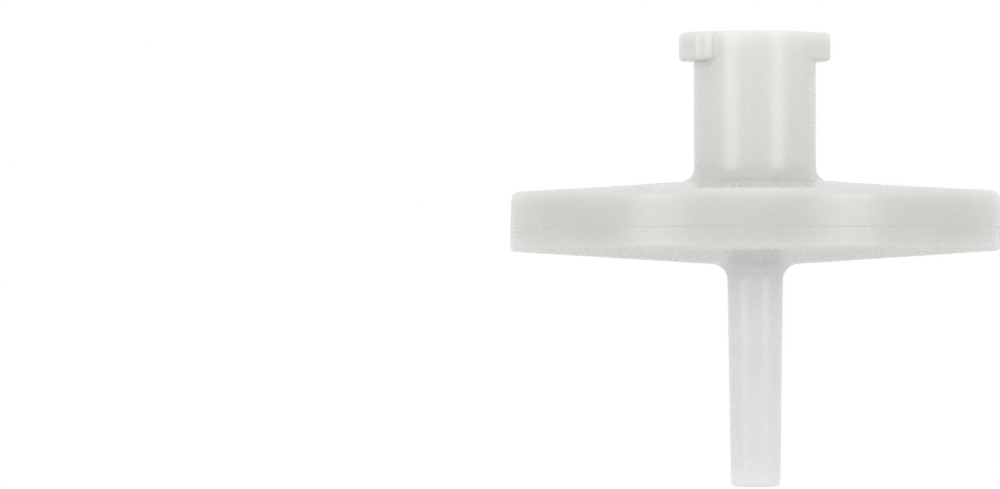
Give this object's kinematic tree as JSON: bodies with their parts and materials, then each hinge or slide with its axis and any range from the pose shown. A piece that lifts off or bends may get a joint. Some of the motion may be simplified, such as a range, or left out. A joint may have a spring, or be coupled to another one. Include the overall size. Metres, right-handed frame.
{
  "type": "syringe filter",
  "caption": "Round disc syringe filter with a lugged luer-lock inlet hub on one face and a slim tapered outlet spout on the other.",
  "frame": {"origin": "centre of the inlet's mouth, on the plane of its end ring and of the lugs' top faces", "axes": "+Z along the flow axis, out of the inlet's mouth; the outlet points down -Z; +X through the middle of one lug"},
  "size_m": [0.0252, 0.0252, 0.0233],
  "materials": {
    "natural_polypropylene": "translucent milky natural polypropylene, fine satin surface",
    "white_membrane": "matt white porous film"
  },
  "bodies": {
    "root": {"inlet_shell": "natural_polypropylene", "filter_membrane": "white_membrane", "outlet_shell": "natural_polypropylene"}
  },
  "joints": []
}
